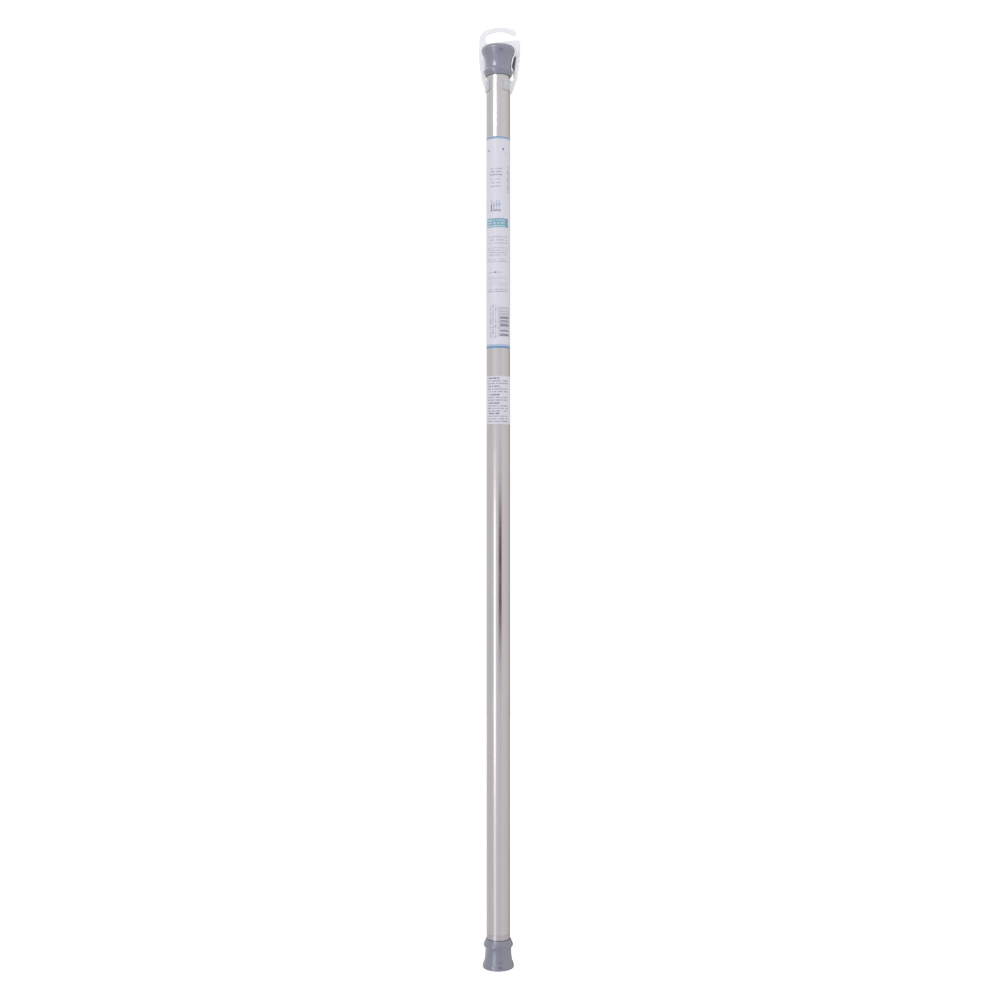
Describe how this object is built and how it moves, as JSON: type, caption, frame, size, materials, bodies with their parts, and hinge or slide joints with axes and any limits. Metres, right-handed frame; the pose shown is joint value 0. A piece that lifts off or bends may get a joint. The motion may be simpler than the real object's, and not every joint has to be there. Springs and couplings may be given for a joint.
{
  "type": "telescopic tension bar",
  "caption": "Straight two-tube steel bar that wedges between two faces: twist lock and sprung plunger inside, soft foot on each end, clip-on clear hanging hook.",
  "frame": {"origin": "centre of the lower foot's flat face", "axes": "+Z along the bar from the lower foot to the upper foot, -Y towards the side that shows the label's front, +X to the right seen from there"},
  "size_m": [0.0496, 0.0402, 1.126],
  "materials": {
    "outer_tube_steel": "satin",
    "inner_tube_steel": "satin",
    "ferrule_steel": "satin",
    "upper_cap_vinyl": "satin",
    "lower_cap_vinyl": "satin",
    "white_nylon": "satin",
    "plug_plastic": "matte",
    "bush_nylon": "satin",
    "cam_rubber": "matte",
    "label_paper": "satin",
    "sticker_paper": "matte",
    "clear_plastic": "gloss",
    "rivet_aluminium": "satin",
    "spring_steel": "satin",
    "rod_steel": "satin",
    "zinc_steel": "satin"
  },
  "bodies": {
    "outer_tube_group": {"outer_tube": "outer_tube_steel", "tube_ferrule": "ferrule_steel", "upper_end_cap": "upper_cap_vinyl", "upper_tube_plug": "plug_plastic", "product_label": "label_paper", "info_sticker": "sticker_paper"},
    "hanger_group": {"hanger": "clear_plastic"},
    "slide_group": {"guide_ring": "white_nylon"},
    "inner_tube_group": {"inner_tube": "inner_tube_steel", "lower_end_cap": "lower_cap_vinyl", "lower_tube_plug": "plug_plastic", "spring_bush": "bush_nylon", "bush_rivets": "rivet_aluminium", "compression_spring": "spring_steel"},
    "plunger_group": {"spring_seat": "zinc_steel", "plunger_rod": "rod_steel", "rod_washer": "zinc_steel", "rod_nut": "zinc_steel", "cam_journal": "bush_nylon", "cam_end_plate": "zinc_steel", "cam_screw": "zinc_steel"},
    "cam_group": {"cam_ring": "cam_rubber"}
  },
  "joints": [
    {"name": "extension", "type": "slide", "parent": "outer_tube_group", "child": "slide_group", "axis": [0, 0, -1], "range_m": [0, 0.9]},
    {"name": "twist_lock", "type": "hinge", "parent": "slide_group", "child": "inner_tube_group", "pos_m": [0, 0, 1], "axis": [0, 0, 1], "range_deg": [0, 45]},
    {"name": "spring_travel", "type": "slide", "parent": "inner_tube_group", "child": "plunger_group", "axis": [0, 0, -1], "range_m": [0, 0.025], "stiffness_N_per_m": 3000, "springref_m": -0.008, "deforming": ["compression_spring"]},
    {"name": "cam_turn", "type": "hinge", "parent": "plunger_group", "child": "cam_group", "pos_m": [0.001, 0, 1.065], "axis": [0, 0, 1], "range_deg": [-45, 0]},
    {"name": "hanger_swivel", "type": "hinge", "parent": "outer_tube_group", "child": "hanger_group", "pos_m": [0, 0, 1.053], "axis": [0, 0, 1], "continuous": true}
  ],
  "couplings": [
    {"joint": "cam_turn", "follows": "twist_lock", "ratio": -1}
  ]
}
